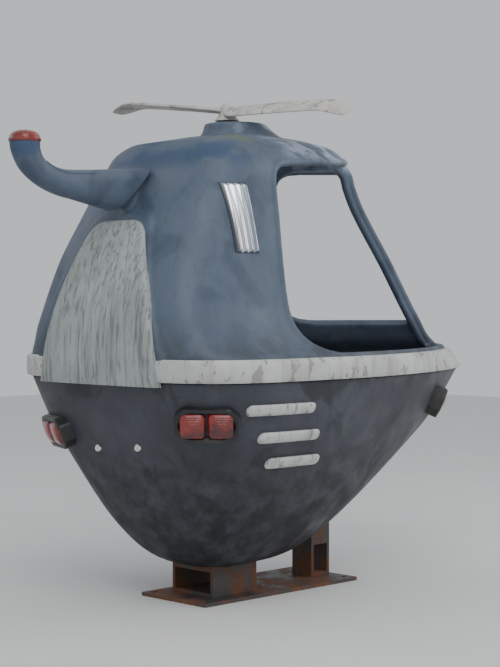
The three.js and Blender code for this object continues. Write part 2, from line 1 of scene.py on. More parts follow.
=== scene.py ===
# Looks of a helicopter-shaped fairground ride gondola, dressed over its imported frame.
# Metres, +X to the nose, +Y to port, +Z up.
import math

import bmesh
import bpy
import numpy as np
from mathutils import Matrix, Vector


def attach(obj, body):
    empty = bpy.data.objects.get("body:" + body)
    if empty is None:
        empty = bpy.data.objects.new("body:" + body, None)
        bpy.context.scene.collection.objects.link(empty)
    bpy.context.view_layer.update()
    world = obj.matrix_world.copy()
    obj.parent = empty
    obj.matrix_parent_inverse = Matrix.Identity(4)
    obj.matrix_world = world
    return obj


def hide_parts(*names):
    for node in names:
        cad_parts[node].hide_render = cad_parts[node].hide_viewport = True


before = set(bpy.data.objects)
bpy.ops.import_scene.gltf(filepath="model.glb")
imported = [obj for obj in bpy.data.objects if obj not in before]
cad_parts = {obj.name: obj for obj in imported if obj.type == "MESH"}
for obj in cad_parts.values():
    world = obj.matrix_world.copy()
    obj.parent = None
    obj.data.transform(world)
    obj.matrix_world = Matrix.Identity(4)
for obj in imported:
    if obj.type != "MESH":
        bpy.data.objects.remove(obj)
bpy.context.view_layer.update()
scene = bpy.context.scene

# Sections of the tub and the cabin: height, rear end, nose, half width, how square the rear
# corners are and how blunt the nose is.
HULL = [
    (0.105, -0.180, 0.150, 0.095, 2.2, 2.0),
    (0.122, -0.240, 0.235, 0.155, 2.4, 1.9),
    (0.160, -0.300, 0.330, 0.205, 2.6, 1.8),
    (0.220, -0.352, 0.440, 0.262, 2.8, 1.7),
    (0.300, -0.400, 0.570, 0.322, 3.0, 1.6),
    (0.470, -0.480, 0.848, 0.412, 3.4, 1.42),
    (0.560, -0.520, 0.985, 0.450, 3.6, 1.34),
    (0.716, -0.568, 1.150, 0.498, 4.0, 1.25),
]
CABIN = [
    (0.716, -0.568, 1.150, 0.498, 4.0, 1.25),
    (0.784, -0.572, 1.050, 0.492, 4.0, 1.3),
    (0.820, -0.571, 1.000, 0.440, 5.0, 1.3),
    (0.870, -0.568, 0.961, 0.402, 6.0, 1.35),
    (0.920, -0.562, 0.920, 0.380, 6.0, 1.35),
    (1.000, -0.545, 0.858, 0.363, 5.5, 1.38),
    (1.090, -0.515, 0.789, 0.350, 5.0, 1.4),
    (1.220, -0.453, 0.680, 0.335, 4.0, 1.4),
    (1.290, -0.415, 0.627, 0.325, 3.7, 1.4),
    (1.360, -0.375, 0.588, 0.315, 3.4, 1.4),
    (1.405, -0.352, 0.562, 0.296, 3.4, 1.4),
    (1.425, -0.338, 0.524, 0.279, 3.3, 1.42),
    (1.440, -0.322, 0.504, 0.258, 3.2, 1.48),
    (1.455, -0.296, 0.486, 0.230, 3.0, 1.55),
    (1.468, -0.215, 0.450, 0.200, 2.6, 1.65),
    (1.478, -0.150, 0.402, 0.168, 2.3, 1.8),
    (1.485, -0.118, 0.340, 0.135, 2.1, 2.0),
]
WIDEST_X = -0.100
# How much further the nose moves than the sides when a section grows.
NOSE_GROWTH = 1.6
WALL = 0.020
KEEL_Z = 0.105
DOOR_SILL_Z = 0.665
SEAM_Z = 0.716
BELT_TOP_Z = 0.784
PORT_SILL_Z = 0.870
PORT_HEAD_Z = 1.404
ROOF_TOP_Z = 1.485
DOOR_REAR_X, DOOR_FRONT_X = -0.225, 0.318
# The doorway's cut starts this far to port of the middle.
DOOR_CUT_Y = 0.10
PILLAR_HALF = 0.012
# Further ahead, or out to a side, than any part of the gondola.
AHEAD = 1.300
HEAD_REAR = (-0.130, 1.378)
HEAD_FRONT = (0.470, 1.424)
# Cell size and softening passes of the cabin's and the tub's skins.
SHELL_VOXEL, SHELL_PASSES = 0.0065, 5
RIM_RADIUS = 0.013
VENT_FOOT_Z, VENT_TOP_Z = 1.100, 1.310


def head_z(x):
    """Height of the starboard window's head, which climbs towards the nose."""
    share = (x - HEAD_REAR[0]) / (HEAD_FRONT[0] - HEAD_REAR[0])
    return HEAD_REAR[1] + share * (HEAD_FRONT[1] - HEAD_REAR[1])


# Openings: corners as distance ahead of the origin, height and corner radius.
DOORWAY = [(DOOR_REAR_X, DOOR_SILL_Z, 0.05), (DOOR_FRONT_X, DOOR_SILL_Z, 0.05),
           (0.250, PORT_HEAD_Z, 0.07), (-0.095, PORT_HEAD_Z, 0.06)]
PORT_WINDOW = [(0.492, PORT_SILL_Z, 0.15), (AHEAD, PORT_SILL_Z, 0.02),
               (AHEAD, PORT_HEAD_Z, 0.02), (0.372, PORT_HEAD_Z, 0.07)]
STARBOARD_WINDOW = [(HEAD_REAR[0], BELT_TOP_Z, 0.14), (AHEAD, BELT_TOP_Z, 0.02),
                    (AHEAD, 1.150, 0.02), (0.640, 1.332, 0.02),
                    (0.535, head_z(0.535), 0.05), (*HEAD_REAR, 0.055)]


# Numbers and outlines.

def at_height(rows, z):
    """The section's values at height z, on a smooth curve through the rows."""
    heights = [row[0] for row in rows]
    z = min(max(z, heights[0]), heights[-1])
    last = len(rows) - 1
    i = next((k for k in range(last) if z <= heights[k + 1]), last - 1)
    span = heights[i + 1] - heights[i]
    t = (z - heights[i]) / span
    values = [np.array(row[1:]) for row in rows]

    def slope(k):
        below, above = max(k - 1, 0), min(k + 1, last)
        return (values[above] - values[below]) / (heights[above] - heights[below])

    return ((2 * t**3 - 3 * t**2 + 1) * values[i] + (t**3 - 2 * t**2 + t) * span * slope(i)
            + (3 * t**2 - 2 * t**3) * values[i + 1] + (t**3 - t**2) * span * slope(i + 1))


def circle(steps):
    """Angles all the way round, in equal steps."""
    return np.linspace(0, 2 * math.pi, steps, endpoint=False)


def resampled(points, steps, closed=False):
    """The polyline cut again into equal steps."""
    points = np.array(points, float)
    if closed:
        points = np.vstack([points, points[:1]])
    length = np.concatenate([[0], np.cumsum(np.linalg.norm(np.diff(points, axis=0), axis=1))])
    marks = np.linspace(0, length[-1], steps + 1)
    if closed:
        marks = marks[:-1]
    return np.stack([np.interp(marks, length, column) for column in points.T], axis=1)


def ring(rows, z, grow=0.0, steps=200, shown_z=None):
    """Plan outline of the skin at height z, moved out by grow, from the nose round by port."""
    rear, nose, half, square, blunt = at_height(rows, z)
    turn = circle(3000)
    c, s = np.cos(turn), np.sin(turn)
    rounding = np.where(c < 0, square, blunt)
    back = WIDEST_X - rear + grow
    ahead = nose - WIDEST_X + grow * NOSE_GROWTH
    x = np.where(c < 0, -back * np.abs(c) ** (2 / square), ahead * c) + WIDEST_X
    y = (half + grow) * np.sign(s) * np.abs(s) ** (2 / rounding)
    height = np.full_like(x, z if shown_z is None else shown_z)
    return resampled(np.stack([x, y, height], axis=1), steps, closed=True)


def skin_y(rows, x, z, grow=0.0):
    """Half width of the skin at x and height z."""
    rear, nose, half, square, blunt = at_height(rows, z)
    if x < WIDEST_X:
        c = min(1.0, (WIDEST_X - x) / (WIDEST_X - rear + grow)) ** (square / 2)
        power = square
    else:
        c = min(1.0, (x - WIDEST_X) / (nose - WIDEST_X + grow * NOSE_GROWTH))
        power = blunt
    return (half + grow) * (1 - c * c) ** (1 / power)


def skin_x(rows, y, z, front=True, grow=0.0):
    """Where the skin's front or rear reaches at y and height z."""
    rear, nose, half, square, blunt = at_height(rows, z)
    power = blunt if front else square
    s = min(1.0, abs(y) / (half + grow)) ** (power / 2)
    c = math.sqrt(1 - s * s)
    if front:
        return WIDEST_X + (nose - WIDEST_X + grow * NOSE_GROWTH) * c
    return WIDEST_X - (WIDEST_X - rear + grow) * c ** (2 / square)


def rounded(corners, spacing=0.01, arc_steps=10):
    """Closed outline with its corners rounded, as dense points."""
    points = []
    count = len(corners)
    for i, (x, z, radius) in enumerate(corners):
        here = np.array([x, z])
        before = np.array(corners[i - 1][:2])
        after = np.array(corners[(i + 1) % count][:2])
        start = here + (before - here) / np.linalg.norm(before - here) * radius
        end = here + (after - here) / np.linalg.norm(after - here) * radius
        for t in np.linspace(0, 1, arc_steps):
            points.append((1 - t) ** 2 * start + 2 * t * (1 - t) * here + t**2 * end)
    length = np.linalg.norm(np.diff(points + points[:1], axis=0), axis=1).sum()
    return resampled(points, int(length / spacing), closed=True)


# Meshes.

def mesh_object(name, vertices, faces):
    """A piece from points and faces, with its faces turned outwards."""
    mesh = bpy.data.meshes.new(name)
    points = [tuple(map(float, v)) for v in vertices]
    mesh.from_pydata(points, [], [tuple(map(int, f)) for f in faces])
    work = bmesh.new()
    work.from_mesh(mesh)
    bmesh.ops.recalc_face_normals(work, faces=work.faces)
    work.to_mesh(mesh)
    work.free()
    piece = bpy.data.objects.new(name, mesh)
    scene.collection.objects.link(piece)
    return piece


def skin(name, rings, looped=False):
    """Surface through rings of equal length, closed by flat caps or into a loop."""
    steps = len(rings[0])
    vertices = np.vstack(rings)
    faces = []
    spans = len(rings) if looped else len(rings) - 1
    for level in range(spans):
        here, above = level * steps, ((level + 1) % len(rings)) * steps
        for i in range(steps):
            j = (i + 1) % steps
            faces.append((here + i, here + j, above + j, above + i))
    if not looped:
        faces.append(tuple(range(steps)))
        faces.append(tuple(reversed(range(len(vertices) - steps, len(vertices)))))
    return mesh_object(name, vertices, faces)


def sheet(name, front, rear, across):
    """Closed plate between a front and a rear grid of points, in rows of so many across."""
    count = len(front)
    levels = count // across
    faces = []
    for i in range(levels - 1):
        for j in range(across - 1):
            a, b = i * across + j, i * across + j + 1
            faces.append((a, b, b + across, a + across))
            faces.append((count + a, count + a + across, count + b + across, count + b))
    border = ([(0, j) for j in range(across)] + [(i, across - 1) for i in range(1, levels)]
              + [(levels - 1, j) for j in range(across - 2, -1, -1)]
              + [(i, 0) for i in range(levels - 2, 0, -1)])
    marks = [i * across + j for i, j in border]
    for a, b in zip(marks, marks[1:] + marks[:1]):
        faces.append((a, b, count + b, count + a))
    return smooth(mesh_object(name, front + rear, faces), 50)


def apply_modifiers(piece):
    """The piece with its modifiers worked into its mesh."""
    graph = bpy.context.evaluated_depsgraph_get()
    graph.update()
    mesh = bpy.data.meshes.new_from_object(piece.evaluated_get(graph))
    piece.modifiers.clear()
    piece.data = mesh
    return piece


def combine(target, tool, operation):
    """Boolean of target with tool, which is used up."""
    cut = target.modifiers.new("cut", "BOOLEAN")
    cut.operation = operation
    cut.solver = "EXACT"
    cut.object = tool
    apply_modifiers(target)
    bpy.data.objects.remove(tool)
    return target


def joined(target, *others):
    """The others' faces added to target as they are."""
    work = bmesh.new()
    work.from_mesh(target.data)
    for other in others:
        work.from_mesh(other.data)
        bpy.data.objects.remove(other)
    work.to_mesh(target.data)
    work.free()
    return target


def settled(piece, voxel, passes):
    """One closed skin round the piece's overlapping solids, with softened edges."""
    remesh = piece.modifiers.new("voxels", "REMESH")
    remesh.mode = "VOXEL"
    remesh.voxel_size = voxel
    relax = piece.modifiers.new("relax", "SMOOTH")
    relax.factor = 0.5
    relax.iterations = passes
    return apply_modifiers(piece)


def prism(outline, y0, y1):
    """Cutting block between two widths. The outline is in distance ahead and height."""
    flat = np.array(outline)
    return skin("cut", [np.column_stack([flat[:, 0], np.full(len(flat), y), flat[:, 1]])
                        for y in (y0, y1)])


def frames_along(path, closed):
    """A pair of cross directions at each point of the path, turning as little as possible."""
    path = np.array(path, float)
    ahead = np.roll(path, -1, axis=0) - np.roll(path, 1, axis=0)
    if not closed:
        ahead[0] = path[1] - path[0]
        ahead[-1] = path[-1] - path[-2]
    ahead /= np.linalg.norm(ahead, axis=1)[:, None]
    first = np.cross(ahead[0], [0, 0, 1])
    if np.linalg.norm(first) < 0.1:
        first = np.cross(ahead[0], [1, 0, 0])
    side = first / np.linalg.norm(first)
    pairs = []
    for direction in ahead:
        side = side - direction * np.dot(side, direction)
        side /= np.linalg.norm(side)
        pairs.append((side.copy(), np.cross(direction, side)))
    return pairs


def tube(name, path, radius, sides=16, closed=False):
    """Round bar along the path. radius is one number or one for each point."""
    radii = np.broadcast_to(radius, len(path))
    rings = []
    for point, (side, up), r in zip(path, frames_along(path, closed), radii):
        rings.append(np.array([point + r * (math.cos(a) * side + math.sin(a) * up)
                               for a in circle(sides)]))
    return skin(name, rings, looped=closed)


def spline(points, steps):
    """Smooth curve through the points, cut into equal steps."""
    points = [np.array(p, float) for p in points]
    dense = []
    for i in range(len(points) - 1):
        b, c = points[i], points[i + 1]
        a = points[i - 1] if i > 0 else 2 * b - c
        d = points[i + 2] if i + 2 < len(points) else 2 * c - b
        for t in np.linspace(0, 1, 24, endpoint=False):
            dense.append(0.5 * (2 * b + (c - a) * t + (2 * a - 5 * b + 4 * c - d) * t**2
                                + (3 * b - a - 3 * c + d) * t**3))
    dense.append(points[-1])
    return resampled(dense, steps)


def turned(degrees, axis):
    """Rotation matrix about one axis."""
    return Matrix.Rotation(math.radians(degrees), 4, axis)


def lathe(name, profile, segments=64, place=(0, 0, 0)):
    """Turned solid about +Z. The profile runs from the axis back to the axis."""
    axis_radius = 1e-5
    turn = circle(segments)
    rings = []
    for r, z in profile:
        r = max(r, axis_radius)
        rings.append(np.column_stack([r * np.cos(turn), r * np.sin(turn), np.full(segments, z)]))
    piece = skin(name, rings)
    piece.data.transform(Matrix.Translation(place))
    return piece


def smooth(piece, angle=40.0):
    """Smooth shading that keeps edges sharper than the angle."""
    work = bmesh.new()
    work.from_mesh(piece.data)
    limit = math.radians(angle)
    for face in work.faces:
        face.smooth = True
    for edge in work.edges:
        edge.smooth = len(edge.link_faces) == 2 and edge.calc_face_angle(0) < limit
    work.to_mesh(piece.data)
    work.free()
    return piece


def bevelled(piece, width):
    """The piece with its edges of more than 30 degrees rounded."""
    bevel = piece.modifiers.new("bevel", "BEVEL")
    bevel.width = width
    bevel.segments = 2
    bevel.limit_method = "ANGLE"
    bevel.angle_limit = math.radians(30)
    return apply_modifiers(piece)


def dress(piece, finish, slot, *nodes, body="gondola"):
    """Gives a finished piece its material, its body and the nodes that it stands for."""
    piece.data.materials.clear()
    piece.data.materials.append(finish)
    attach(piece, body)
    if nodes:
        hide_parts(*nodes)
    return piece


# Finishes.

class Finish:
    """A material's nodes, with short calls for what the finishes share."""

    def __init__(self, name):
        self.material = bpy.data.materials.new(name)
        self.material.use_nodes = True
        self.tree = self.material.node_tree
        self.shader = self.tree.nodes["Principled BSDF"]
        self.place = self.node("ShaderNodeTexCoord").outputs["Object"]

    def node(self, kind, **settings):
        made = self.tree.nodes.new(kind)
        for key, value in settings.items():
            setattr(made, key, value)
        return made

    def feed(self, socket, value):
        if isinstance(value, bpy.types.NodeSocket):
            self.tree.links.new(value, socket)
        else:
            socket.default_value = value

    def noise(self, scale, detail=4.0, roughness=0.55, stretch=(1, 1, 1), warp=0.0):
        mapping = self.node("ShaderNodeMapping")
        mapping.inputs["Scale"].default_value = stretch
        self.feed(mapping.inputs["Vector"], self.place)
        made = self.node("ShaderNodeTexNoise")
        made.inputs["Scale"].default_value = scale
        made.inputs["Detail"].default_value = detail
        made.inputs["Roughness"].default_value = roughness
        made.inputs["Distortion"].default_value = warp
        self.feed(made.inputs["Vector"], mapping.outputs["Vector"])
        return made.outputs["Fac"]

    def step(self, value, low, high, to_low=0.0, to_high=1.0):
        made = self.node("ShaderNodeMapRange", interpolation_type="SMOOTHSTEP")
        for key, given in (("Value", value), ("From Min", low), ("From Max", high),
                           ("To Min", to_low), ("To Max", to_high)):
            self.feed(made.inputs[key], given)
        return made.outputs["Result"]

    def math(self, operation, a, b=0.0):
        made = self.node("ShaderNodeMath", operation=operation)
        self.feed(made.inputs[0], a)
        self.feed(made.inputs[1], b)
        return made.outputs["Value"]

    def mix(self, share, a, b):
        made = self.node("ShaderNodeMix", data_type="RGBA")
        self.feed(made.inputs["Factor"], share)
        self.feed(made.inputs["A"], a if isinstance(a, bpy.types.NodeSocket) else (*a, 1))
        self.feed(made.inputs["B"], b if isinstance(b, bpy.types.NodeSocket) else (*b, 1))
        return made.outputs["Result"]

    def axis(self, name):
        made = self.node("ShaderNodeSeparateXYZ")
        self.feed(made.inputs["Vector"], self.place)
        return made.outputs[name]

    def bump(self, *layers):
        """Stacks height layers, each a value with its depth in metres."""
        normal = None
        for height, depth in layers:
            made = self.node("ShaderNodeBump")
            made.inputs["Distance"].default_value = depth
            self.feed(made.inputs["Height"], height)
            if normal:
                self.feed(made.inputs["Normal"], normal)
            normal = made.outputs["Normal"]
        self.feed(self.shader.inputs["Normal"], normal)

    def set(self, **inputs):
        for key, value in inputs.items():
            socket = self.shader.inputs[key.replace("_", " ")]
            if not isinstance(value, bpy.types.NodeSocket) and isinstance(value, tuple):
                value = (*value, 1)
            self.feed(socket, value)
        return self.material


def gelcoat(name, base, light, dark, stain_and_shade, foot_z, head_z, bleach=None):
    """Old moulded gelcoat: clouded colour, darker repaired patches, dirt runs, specks, and grime
    with painted shade that darkens it towards its foot.
    """
    f = Finish(name)
    cloud = f.noise(2.6, 5.0, 0.6)
    colour = f.mix(f.step(cloud, 0.38, 0.66), base, light)
    patch = f.step(f.noise(5.5, 3.0, 0.5, warp=0.6), 0.53, 0.66)
    colour = f.mix(f.math("MULTIPLY", patch, 0.8), colour, dark)
    if bleach:
        colour = bleach(f, colour)
    run = f.step(f.noise(9.0, 5.0, 0.6, stretch=(4.0, 4.0, 0.35)), 0.52, 0.75)
    colour = f.mix(f.math("MULTIPLY", run, 0.35), colour, stain_and_shade)
    # Darker towards foot_z: partly grime, partly painted shade on the shell's lower part.
    low = f.step(f.axis("Z"), foot_z, head_z, 1.0, 0.0)
    grime_and_shade = f.math("MULTIPLY", low, f.step(f.noise(14.0, 6.0, 0.65), 0.30, 0.62))
    colour = f.mix(f.math("MULTIPLY", grime_and_shade, 0.8), colour, stain_and_shade)
    speck = f.step(f.noise(60.0, 3.0, 0.6), 0.66, 0.72)
    colour = f.mix(f.math("MULTIPLY", speck, 0.5), colour, stain_and_shade)
    f.bump((f.noise(5.0, 2.0), 0.006), (f.noise(220.0, 2.0), 0.0004))
    rough = f.step(f.noise(7.0, 4.0), 0.3, 0.7, 0.46, 0.68)
    return f.set(Base_Color=colour, Roughness=rough, Specular_IOR_Level=0.35, Coat_Weight=0.06,
                 Coat_Roughness=0.35)


def roof_weather(f, colour):
    """Sun-bleached band over the windows, dark blue patches on the sloping rear roof that are
    partly painted shade, and moss behind the mast.
    """
    bleached, patchy_shade_blue, mossy = (0.36, 0.42, 0.54), (0.035, 0.070, 0.135), (0.115, 0.145, 0.085)
    moss_x, moss_y = -0.17, -0.19
    height, ahead, aside = f.axis("Z"), f.axis("X"), f.axis("Y")
    blotch = f.step(f.noise(9.0, 4.0, 0.6, warp=0.4), 0.40, 0.58)
    top = f.step(height, 1.385, 1.430)
    front = f.math("MULTIPLY", top, f.step(ahead, -0.12, 0.05))
    share = f.math("MULTIPLY", f.math("MULTIPLY", front, blotch), 0.85)
    colour = f.mix(share, colour, bleached)
    # Dark blue over the sloping rear roof in patches: partly the roof's own patchy colour, partly
    # painted shade.
    rear = f.math("MULTIPLY", f.step(height, 1.34, 1.40), f.step(ahead, -0.30, -0.14, 1.0, 0.0))
    patch_and_shade_mask = f.step(f.noise(7.0, 2.0, 0.4, stretch=(1, 1, 2.2)), 0.47, 0.56)
    share = f.math("MULTIPLY", f.math("MULTIPLY", rear, patch_and_shade_mask), 0.8)
    colour = f.mix(share, colour, patchy_shade_blue)
    distance_squared = f.math("ADD", f.math("POWER", f.math("SUBTRACT", ahead, moss_x), 2.0),
                              f.math("POWER", f.math("SUBTRACT", aside, moss_y), 2.0))
    moss = f.math("MULTIPLY", f.step(distance_squared, 0.001, 0.006, 1.0, 0.0),
                  f.step(height, 1.405, 1.430))
    return f.mix(f.math("MULTIPLY", moss, 0.55), colour, mossy)


def chalk_white(name, base, under, streak, coverage, grain=(20.0, 2.2, 0.22), edge=0.045):
    """Chalky white paint, worn in long upright streaks to what is under it, with grey runs.

    grain is the flakes' scale with their stretch across and along, and edge how softly they end.
    """
    f = Finish(name)
    cloud = f.step(f.noise(6.0, 5.0, 0.65), 0.3, 0.7)
    shade = tuple(0.78 * c for c in base)
    colour = f.mix(cloud, shade, base)
    flow = f.step(f.noise(11.0, 7.0, 0.7, stretch=(2.4, 2.4, 0.3)), 0.47, 0.66)
    colour = f.mix(f.math("MULTIPLY", flow, 0.7), colour, streak)
    scale, across, along = grain
    worn = f.noise(scale, 6.0, 0.62, stretch=(across, across, along), warp=0.25)
    low = 0.585 - 0.09 * coverage
    flake = f.step(worn, low, low + edge)
    colour = f.mix(f.math("MULTIPLY", flake, 0.75), colour, under)
    f.bump((f.math("SUBTRACT", 1.0, flake), 0.0010), (f.noise(90.0, 5.0, 0.7), 0.0008))
    return f.set(Base_Color=colour, Roughness=f.step(cloud, 0, 1, 0.7, 0.55))


def lens(name, colour, deep):
    """Clouded moulded lens with fine ribs and dirt."""
    f = Finish(name)
    dirt = f.step(f.noise(22.0, 4.0, 0.6), 0.4, 0.75)
    shade = f.mix(dirt, colour, deep)
    wave = f.node("ShaderNodeTexWave", wave_type="BANDS", bands_direction="Z")
    wave.inputs["Scale"].default_value = 46.0
    f.feed(wave.inputs["Vector"], f.place)
    f.bump((wave.outputs["Fac"], 0.0012))
    return f.set(Base_Color=shade, Roughness=f.step(dirt, 0, 1, 0.16, 0.45), Coat_Weight=0.6,
                 Coat_Roughness=0.15)


def dull_chrome(name):
    """Bright plate with upright streaks that are partly smears and partly painted reflections, a
    painted dark reflection along its slanted rear edge and a painted bluish reflection over its
    front part.
    """
    f = Finish(name)
    smear_and_reflection = f.noise(12.0, 5.0, 0.6, stretch=(3, 3, 0.5))
    # Upright streaks of bright and dark metal: partly smears, partly painted reflections.
    colour = f.mix(f.step(smear_and_reflection, 0.45, 0.75), (0.72, 0.74, 0.77), (0.30, 0.31, 0.33))
    risen = f.math("SUBTRACT", f.axis("Z"), VENT_FOOT_Z)
    along = f.math("ADD", f.axis("X"), f.math("MULTIPLY", risen, 0.09))
    # Painted dark reflection along the slanted rear edge.
    colour = f.mix(f.step(along, -0.316, -0.306, 0.9, 0.0), colour, (0.06, 0.07, 0.09))
    # Painted bluish reflection over the front part.
    colour = f.mix(f.step(along, -0.268, -0.256, 0.0, 0.6), colour, (0.20, 0.25, 0.33))
    return f.set(Base_Color=colour, Metallic=1.0, Roughness=f.step(smear_and_reflection, 0.3, 0.8, 0.12, 0.42))


def enamel(name, base, chip):
    """Paint on steel, with chips and dirt."""
    f = Finish(name)
    dirt = f.step(f.noise(18.0, 5.0, 0.6), 0.45, 0.75)
    colour = f.mix(f.math("MULTIPLY", dirt, 0.55), base, tuple(0.55 * c for c in base))
    chips = f.step(f.noise(55.0, 4.0, 0.65), 0.66, 0.69)
    colour = f.mix(chips, colour, chip)
    f.bump((f.math("SUBTRACT", 1.0, chips), 0.0006))
    return f.set(Base_Color=colour, Roughness=f.step(dirt, 0, 1, 0.32, 0.6))


def rusty_paint(name, paint, rust):
    """Dark paint that rust has broken through in patches."""
    f = Finish(name)
    spread = f.step(f.noise(9.0, 8.0, 0.7, warp=0.5), 0.42, 0.60)
    tone = f.mix(f.noise(45.0, 6.0, 0.7), tuple(0.45 * c for c in rust), rust)
    colour = f.mix(spread, paint, tone)
    f.bump((f.noise(80.0, 6.0, 0.7), 0.0015), (spread, 0.0008))
    return f.set(Base_Color=colour, Roughness=f.step(spread, 0, 1, 0.5, 0.85))


def satin_black(name):
    """Black moulding with dust on it."""
    f = Finish(name)
    dust = f.step(f.noise(16.0, 5.0, 0.6), 0.4, 0.8)
    colour = f.mix(dust, (0.012, 0.012, 0.014), (0.055, 0.052, 0.05))
    f.bump((f.noise(260.0, 2.0), 0.0003))
    return f.set(Base_Color=colour, Roughness=f.step(dust, 0, 1, 0.4, 0.65))


def laminate(name, base, dark):
    """Rolled resin and mat on the inner side: grey, slightly wavy, with scuffs."""
    f = Finish(name)
    cloud = f.step(f.noise(4.0, 4.0, 0.6), 0.3, 0.7)
    colour = f.mix(cloud, tuple(0.85 * c for c in base), base)
    scuff = f.step(f.noise(24.0, 6.0, 0.7, warp=1.2), 0.63, 0.68)
    colour = f.mix(f.math("MULTIPLY", scuff, 0.7), colour, dark)
    f.bump((f.noise(30.0, 4.0, 0.6), 0.0025), (f.noise(170.0, 3.0), 0.0006))
    return f.set(Base_Color=colour, Roughness=f.step(cloud, 0, 1, 0.62, 0.74))


BLUE = gelcoat("blue_grey_gelcoat", base=(0.070, 0.097, 0.142), light=(0.092, 0.122, 0.168),
               dark=(0.048, 0.070, 0.110), stain_and_shade=(0.052, 0.058, 0.064), foot_z=0.75, head_z=0.93,
               bleach=roof_weather)
# The slate's stain is near black and reaches up to head_z, so its darkening paints shade on the
# hull's lower part as well as grime.
SLATE = gelcoat("slate_gelcoat", base=(0.045, 0.049, 0.062), light=(0.068, 0.073, 0.094),
                dark=(0.026, 0.029, 0.037), stain_and_shade=(0.009, 0.009, 0.009), foot_z=0.24, head_z=0.62)
WHITE = chalk_white("white_trim", base=(0.56, 0.57, 0.56), under=(0.22, 0.21, 0.18),
                    streak=(0.34, 0.33, 0.30), coverage=0.18, grain=(14.0, 1.6, 0.9))
# The rear panel's white is darker than the belt's: partly heavier streaks and wear, partly painted
# shade of the rear face.
SHADED_FLUTE_WHITE = chalk_white("shaded_flute_white", base=(0.37, 0.40, 0.395), under=(0.135, 0.15, 0.147),
                          streak=(0.21, 0.23, 0.225), coverage=0.80, grain=(42.0, 2.2, 0.12),
                          edge=0.13)
STRIP_WHITE = chalk_white("strip_white", base=(0.62, 0.63, 0.62), under=(0.20, 0.21, 0.21),
                          streak=(0.34, 0.35, 0.34), coverage=0.15)
ROTOR_WHITE = chalk_white("rotor_white", base=(0.60, 0.58, 0.54), under=(0.26, 0.24, 0.23),
                          streak=(0.36, 0.33, 0.30), coverage=0.3, grain=(16.0, 1.6, 1.6))
GREY = laminate("inner_grey", base=(0.22, 0.225, 0.23), dark=(0.05, 0.05, 0.05))
BLACK = satin_black("lamp_black")
RED = lens("red_lens", colour=(0.26, 0.020, 0.014), deep=(0.045, 0.008, 0.008))
CLEAR = lens("clear_lens", colour=(0.50, 0.53, 0.53), deep=(0.22, 0.24, 0.23))
CHROME = dull_chrome("vent_chrome")
ENAMEL = enamel("white_enamel", base=(0.66, 0.68, 0.67), chip=(0.16, 0.075, 0.04))
STEEL = rusty_paint("foot_steel", paint=(0.05, 0.045, 0.045), rust=(0.20, 0.085, 0.04))
BRIGHT = enamel("bolt_zinc", base=(0.70, 0.70, 0.66), chip=(0.25, 0.20, 0.15))


# Cabin and tub.

def rim_path(corners, side, rounds, lift=-0.004):
    """The opening's edge on the skin, as a closed path with its corners eased."""
    beside_pillar, spacing = 0.004, 0.006
    points = []
    for x, z in rounded(corners):
        rows = CABIN if z >= SEAM_Z else HULL
        reach = skin_x(rows, beside_pillar, z, grow=lift)
        y = beside_pillar if x > reach else skin_y(rows, x, z, grow=lift)
        points.append((min(x, reach), side * y, z))
    length = np.linalg.norm(np.diff(points, axis=0), axis=1).sum()
    path = resampled(points, int(length / spacing), closed=True)
    for _ in range(rounds):
        path = 0.5 * path + 0.25 * (np.roll(path, 1, axis=0) + np.roll(path, -1, axis=0))
    return path


def build_rims():
    """Rounded edges of the three openings. The doorway's is open at its foot."""
    door_rim = [p for p in rim_path(DOORWAY, 1, 6) if p[2] > SEAM_Z + 0.004]
    start = max(range(len(door_rim)), key=lambda k: np.linalg.norm(door_rim[k] - door_rim[k - 1]))
    door_rim = np.array(door_rim[start:] + door_rim[:start])
    return [tube("rim", rim_path(PORT_WINDOW, 1, 14), RIM_RADIUS, closed=True),
            tube("rim", rim_path(STARBOARD_WINDOW, -1, 24, -0.008), RIM_RADIUS, closed=True),
            tube("rim", door_rim, RIM_RADIUS)]


def build_boss():
    """Raised back of the cabin, a tapered shell round the fluted panel."""
    foot_z, top_z, grow, depth = SEAM_Z + 0.002, 1.228, 0.011, 0.010
    behind, front = -0.90, -0.30
    outline = rounded([(-0.318, foot_z, 0.04), (0.318, foot_z, 0.04), (0.128, top_z, 0.05),
                       (-0.128, top_z, 0.05)])
    reach = [np.column_stack([np.full(len(outline), x), outline]) for x in (behind, front)]
    boss = combine(skin("boss", [ring(CABIN, z, grow) for z in np.linspace(SEAM_Z, 1.38, 30)]),
                   skin("cut", reach), "INTERSECT")
    inside = [ring(CABIN, z, -depth) for z in np.linspace(SEAM_Z - 0.05, 1.40, 30)]
    return combine(boss, skin("cut", inside), "DIFFERENCE")


def build_fairing():
    """Turned foot of the mast, its lower part slid towards the nose."""
    middle_x, top_z, slide = 0.014, 1.531, 0.57
    fairing = lathe("fairing", [(0, 1.44), (0.204, 1.452), (0.176, 1.466), (0.152, 1.476),
                                (0.133, 1.488), (0.118, 1.502), (0.108, 1.515), (0.104, 1.524),
                                (0.097, 1.530), (0.085, top_z), (0, top_z)], place=(middle_x, 0, 0))
    sheared = Matrix.Translation((slide * top_z, 0, 0))
    sheared[0][2] = -slide
    fairing.data.transform(sheared)
    return fairing


